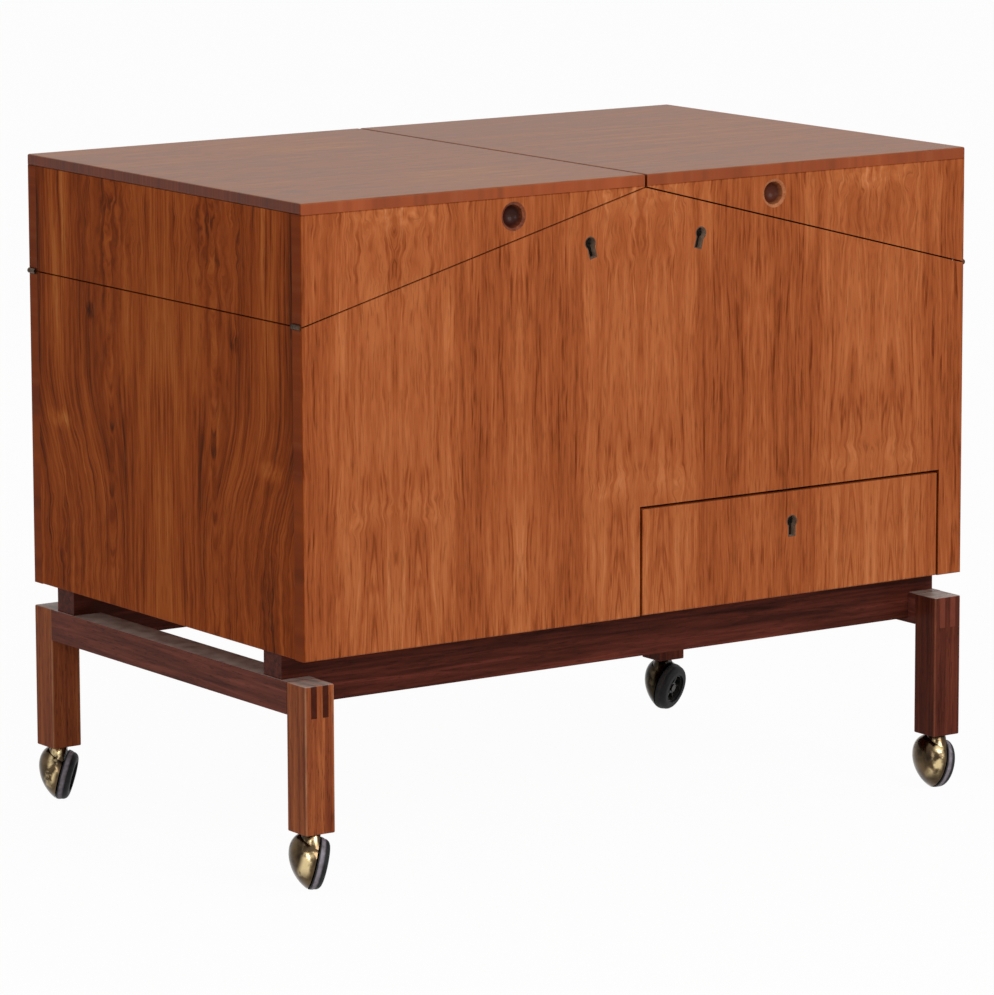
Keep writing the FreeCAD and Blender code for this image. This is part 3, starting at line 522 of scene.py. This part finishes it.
# Cabinet sides and lid sides: boards faced with two leaves of the same veneer, turned over at the middle.
# They are darker than the front, partly the veneer and partly painted shade. In each leaf the grain spreads
# upwards like a fan, beside a few small dark knots, with paler curly places further out.
SIDE_LEAF = 277.5 * MM
SIDE_ARCH = {
    "centre": 105.0 * MM,
    "foot": 760.0 * MM,
    "drop": 70.0 * MM,
    "reach": 26.0 * MM,
    "hold": 4.0 * MM,
    "line_gap": 8.0 * MM,
    "line_depth": 0.10,
    "last_line": 30.0 * MM,
}
SIDE_FAN = {"edge": 62.0 * MM, "width": 28.0 * MM, "low": 340.0 * MM, "high": 500.0 * MM, "spread": 2.7}
SIDE_LAYERS = [
    (80.0 * MM, 480.0 * MM, 1.0, 0.28, 0.72, -0.10, 0.10),
    (14.0 * MM, 260.0 * MM, 2.0, 0.28, 0.72, -0.15, 0.15),
    (4.0 * MM, 150.0 * MM, 3.0, 0.28, 0.72, -0.14, 0.14),
    (5.0 * MM, 180.0 * MM, 2.0, 0.54, 0.66, 0.0, -0.22),
]
SIDE_PATCHES = [
    (0.0, 480.0 * MM, 56.0 * MM, 900.0 * MM, 0.12, 0.0),
    (212.0 * MM, 640.0 * MM, 30.0 * MM, 190.0 * MM, 0.20, 0.1),
    (215.0 * MM, 438.0 * MM, 34.0 * MM, 16.0 * MM, 0.24, 0.5),
    (190.0 * MM, 280.0 * MM, 100.0 * MM, 130.0 * MM, -0.12, 0.5),
    (105.0 * MM, 665.0 * MM, 56.0 * MM, 66.0 * MM, 0.04, 1.0),
    (113.0 * MM, 520.0 * MM, 12.0 * MM, 34.0 * MM, -0.22, 0.5),
    (146.0 * MM, 566.0 * MM, 12.0 * MM, 14.0 * MM, -0.28, 0.7),
    (277.5 * MM, 480.0 * MM, 46.0 * MM, 900.0 * MM, -0.20, 0.0),
]
SIDE_TONES = [(0.10, "#3E1A0A"), (0.90, "#CC8044"), (0.36, "#843A16"), (0.52, "#9E4B20"), (0.66, "#B05C2A")]
side_veneer = veneered("oiled rosewood veneer, sides", across=Y, along=Z, leaf=SIDE_LEAF, start=0.0,
                       arch=SIDE_ARCH, fan=SIDE_FAN, layers=SIDE_LAYERS, patches=SIDE_PATCHES,
                       tones=SIDE_TONES, lippings=[], shine=0.015)
coat(side_veneer, "cabinet_left_side", "cabinet_right_side", "left_lid_side", "right_lid_side")

# Lid tops: boards with the same veneer, its grain along the cabinet, edged with rosewood lippings.
# They keep more of their finish than the upright faces, so that seen at a flat angle
# the satin sheen turns the red wood to a greyish pink.
TOP_LEAF = 277.5 * MM
TOP_START = 277.5 * MM
TOP_ARCH = {
    "centre": 90.0 * MM,
    "foot": 600.0 * MM,
    "drop": 200.0 * MM,
    "reach": 30.0 * MM,
    "hold": 50.0 * MM,
    "line_gap": 12.0 * MM,
    "line_depth": 0.05,
    "last_line": 90.0 * MM,
}
TOP_PATCHES = [(150.0 * MM, -150.0 * MM, 60.0 * MM, 90.0 * MM, 0.12, 0.3)]
TOP_TONES = [(0.20, "#78462A"), (0.85, "#B67E58"), (0.5, "#985D38")]
END_TONES = [(0.3, "#5A2006"), (0.7, "#7A320E")]
FRONT_EDGE_TONES = [(0.3, "#7A3616"), (0.7, "#A04C24")]
top_veneer = veneered("oiled rosewood veneer, lying", across=Y, along=X, leaf=TOP_LEAF, start=TOP_START,
                      arch=TOP_ARCH, fan=NO_FAN, layers=FRONT_LAYERS, patches=TOP_PATCHES, tones=TOP_TONES,
                      lippings=[(X, END_TONES), (Y, FRONT_EDGE_TONES)], shine=0.2)
coat(top_veneer, "left_lid_top", "right_lid_top")

# Finger pulls: cups turned from rosewood and let into the lid fronts, varnished, with the bowl painted darker
# with depth as painted shade.
# The right one has lost the colour of its rim. The varnish gives each bowl one small soft highlight.
BOWL_START = -275.8 * MM
BOWL_DEEP = -270.0 * MM
VARNISH_LEVEL = 0.14
PULLS = [
    ("left_lid_pull", [(0.3, "#5E2C1C"), (0.7, "#8A4A2E")], "#34150E"),
    ("right_lid_pull", [(0.3, "#9A5632"), (0.7, "#B6744C")], "#4E2212"),
]
for pull, rim_tones, bowl_shade_tone in PULLS:
    pull_wood, tree, shader = solid_wood("turned rosewood cup, " + pull, Y, rim_tones, ROSEWOOD_PORES)
    place = add(tree, "TexCoord", {}).outputs["Object"]
    depth = add(tree, "SeparateXYZ", {0: place}).outputs["Y"]
    # The bowl darkens with depth: painted shade
    in_bowl = add(tree, "MapRange", {"Value": depth, "From Min": BOWL_START,
                                     "From Max": BOWL_DEEP}).outputs[0]
    tint(tree, shader, in_bowl, bowl_shade_tone)
    shader.inputs["Specular IOR Level"].default_value = VARNISH_LEVEL
    coat(pull_wood, pull)

# Inside boards: floor, partition, shelf and the crossed strips of the bottle divider, butted and glued.
# Plain mahogany with a thin lacquer: an even red brown with short dark pores.
MAHOGANY_TONES = [(0.3, "#7A3A1E"), (0.7, "#A4603A")]
inside_wood = solid_wood("lacquered mahogany", Y, MAHOGANY_TONES, "#4A2210")[0]
coat(inside_wood, "cabinet_floor", "partition", "drawer_shelf", "bottle_divider")

# Drawer box and runners: beech, the box grooved at its sides to slide on the runners.
# Lacquered beech is pale and pinkish, with fine brown flecks along the drawer.
BEECH_TONES = [(0.3, "#C0906A"), (0.7, "#DDB694")]
drawer_wood = solid_wood("lacquered beech", Y, BEECH_TONES, "#8A5A38")[0]
coat(drawer_wood, "drawer_sides", "drawer_back", "drawer_bottom", "drawer_runners")

# Tray linings: sheets of black laminate glued inside the lids, the trays' floors when they are open.
# The pressed sheet is matt, with a faint haze where it has been wiped.
HAZE_SIZE = 60.0 * MM
laminate = blank_material("matt black laminate")
tree = laminate.node_tree
place = add(tree, "TexCoord", {}).outputs["Object"]
haze = add(tree, "TexNoise", {"Vector": place, "Scale": 1 / HAZE_SIZE, "Detail": 6.0}).outputs["Fac"]
colour = add(tree, "ValToRGB", {"Fac": haze}, stops=[(0.3, "#121213"), (0.7, "#1F1F21")]).outputs["Color"]
gloss = add(tree, "MapRange", {"Value": haze, "To Min": 0.42, "To Max": 0.6}).outputs[0]
shader = add(tree, "BsdfPrincipled", {"Base Color": colour, "Roughness": gloss})
add(tree, "OutputMaterial", {"Surface": shader.outputs[0]})
coat(laminate, "left_lid_lining", "right_lid_lining")

# Locks and bolts: steel cases let into the front and the drawer front, each with a sliding bolt.
# They share the dull turned steel of the screws.
coat(plain_steel, "left_lid_lock", "right_lid_lock", "drawer_lock", "left_lid_bolt", "right_lid_bolt",
     "drawer_bolt")

# Keyhole liners: thin brass tubes in the shape of the keyhole, pressed into the boards.
# Their faces have gone brown, and only the walls that the keys rub are bright.
LINER_FACE_TONE = "#3E2C1E"
LINER_METALLIC = 0.25
FACE_LIMIT = 0.7
liner_brass, tree, shader = aged_brass("rubbed brass", clean="#AE927C", dull="#6C5646", roughness=0.5)
shader.inputs["Metallic"].default_value = LINER_METALLIC
facing = add(tree, "TexCoord", {}).outputs["Normal"]
looks = add(tree, "SeparateXYZ", {0: facing}).outputs["Y"]
toward = add(tree, "Math", {0: looks}, operation="ABSOLUTE").outputs[0]
is_face = add(tree, "Math", {0: toward, 1: FACE_LIMIT}, operation="GREATER_THAN").outputs[0]
tint(tree, shader, is_face, LINER_FACE_TONE)
coat(liner_brass, "lid_keyhole_liners", "drawer_keyhole_liner")

# Hinges: brass leaves let into the slanted edges of cabinet and lids, with pins through their knuckles.
# Never polished since they were fitted, they are dark brown and nearly without shine.
dark_brass = aged_brass("darkened brass", clean="#584434", dull="#30231A", roughness=0.4)[0]
coat(dark_brass, "hinge_lower_leaves", "hinge_pins", "left_hinge_upper_leaves", "right_hinge_upper_leaves")

# Floor: a wide sheet of white paper that the cabinet stands on.
# It looks white to the camera and in shiny pieces, and keeps a little of the cabinet's shadow.
FLOOR_HALF = 30.0
FLOOR_CORNERS = ((-1, -1), (1, -1), (1, 1), (-1, 1))
WHITE_SHARE = 0.965


def seen_as_background(tree):
    """One where the camera looks straight at it, or sees it in a shiny or clear piece."""
    path = add(tree, "LightPath", {}).outputs
    shiny = add(tree, "Math", {0: path["Is Camera Ray"], 1: path["Is Glossy Ray"]},
                operation="MAXIMUM").outputs[0]
    return add(tree, "Math", {0: shiny, 1: path["Is Transmission Ray"]}, operation="MAXIMUM").outputs[0]


floor_mesh = bpy.data.meshes.new("studio_floor")
floor_mesh.from_pydata([(x * FLOOR_HALF, y * FLOOR_HALF, 0.0) for x, y in FLOOR_CORNERS], [], [(0, 1, 2, 3)])
floor = bpy.data.objects.new("studio_floor", floor_mesh)
bpy.context.scene.collection.objects.link(floor)
floor_paper = blank_material("white paper sweep")
tree = floor_paper.node_tree
paper = add(tree, "BsdfDiffuse", {"Color": linear("#E6E6E6")})
glow = add(tree, "Emission", {"Color": linear("#FFFFFF"), "Strength": 1.0})
share = add(tree, "Math", {0: seen_as_background(tree), 1: WHITE_SHARE}, operation="MULTIPLY").outputs[0]
mixed = add(tree, "MixShader", {0: share, 1: paper.outputs[0], 2: glow.outputs[0]})
add(tree, "OutputMaterial", {"Surface": mixed.outputs[0]})
floor_mesh.materials.append(floor_paper)

# Studio light: a white room that lights everything evenly and stands as the white background.
# A broad key at the front right lights the front, and a strip at the left gives the brass a highlight.
ROOM_LIGHT = 0.42
world = bpy.data.worlds.new("white studio")
bpy.context.scene.world = world
world.use_nodes = True
tree = world.node_tree
tree.nodes.clear()
level = add(tree, "MapRange", {"Value": seen_as_background(tree), "To Min": ROOM_LIGHT,
                               "To Max": 1.0}).outputs[0]
room = add(tree, "Background", {"Color": linear("#FFFFFF"), "Strength": level})
add(tree, "OutputWorld", {"Surface": room.outputs[0]})


def softbox(name, place, target, width, height, power):
    """A rectangular area light that faces the target."""
    lamp = bpy.data.lights.new(name, "AREA")
    lamp.shape = "RECTANGLE"
    lamp.size = width
    lamp.size_y = height
    lamp.energy = power
    stand = bpy.data.objects.new(name, lamp)
    stand.location = place
    stand.rotation_euler = (Vector(target) - Vector(place)).to_track_quat("-Z", "Y").to_euler()
    bpy.context.scene.collection.objects.link(stand)


softbox("key", place=(0.7, -4.1, 2.4), target=(0.0, 0.0, 0.45), width=1.8, height=1.8, power=95.0)
softbox("fill", place=(-2.8, -2.6, 1.6), target=(-0.2, 0.0, 0.4), width=0.9, height=1.6, power=22.0)

# Camera: at the photograph's viewing angle, about six metres off with a long lens.
# Its place and angles come from the cabinet's straight edges, and the focal length is in image pixels.
IMAGE_HEIGHT = 995
FOCAL_PIXELS = 5770.2
SENSOR = 36.0
CAMERA_PLACE = (-3.5835, -5.1964, 1.4415)
CAMERA_YAW = math.radians(34.575)
CAMERA_PITCH = math.radians(9.928)
CAMERA_ROLL = math.radians(-0.19)
lens = bpy.data.cameras.new("camera")
lens.sensor_width = SENSOR
lens.lens = FOCAL_PIXELS * SENSOR / IMAGE_HEIGHT
lens.clip_end = 200.0
camera = bpy.data.objects.new("camera", lens)
turn = Matrix.Rotation(-CAMERA_YAW, 4, "Z") @ Matrix.Rotation(math.pi / 2 - CAMERA_PITCH, 4, "X")
camera.matrix_world = Matrix.Translation(CAMERA_PLACE) @ turn @ Matrix.Rotation(CAMERA_ROLL, 4, "Z")
bpy.context.scene.collection.objects.link(camera)
bpy.context.scene.camera = camera
bpy.context.scene.view_settings.view_transform = "Standard"
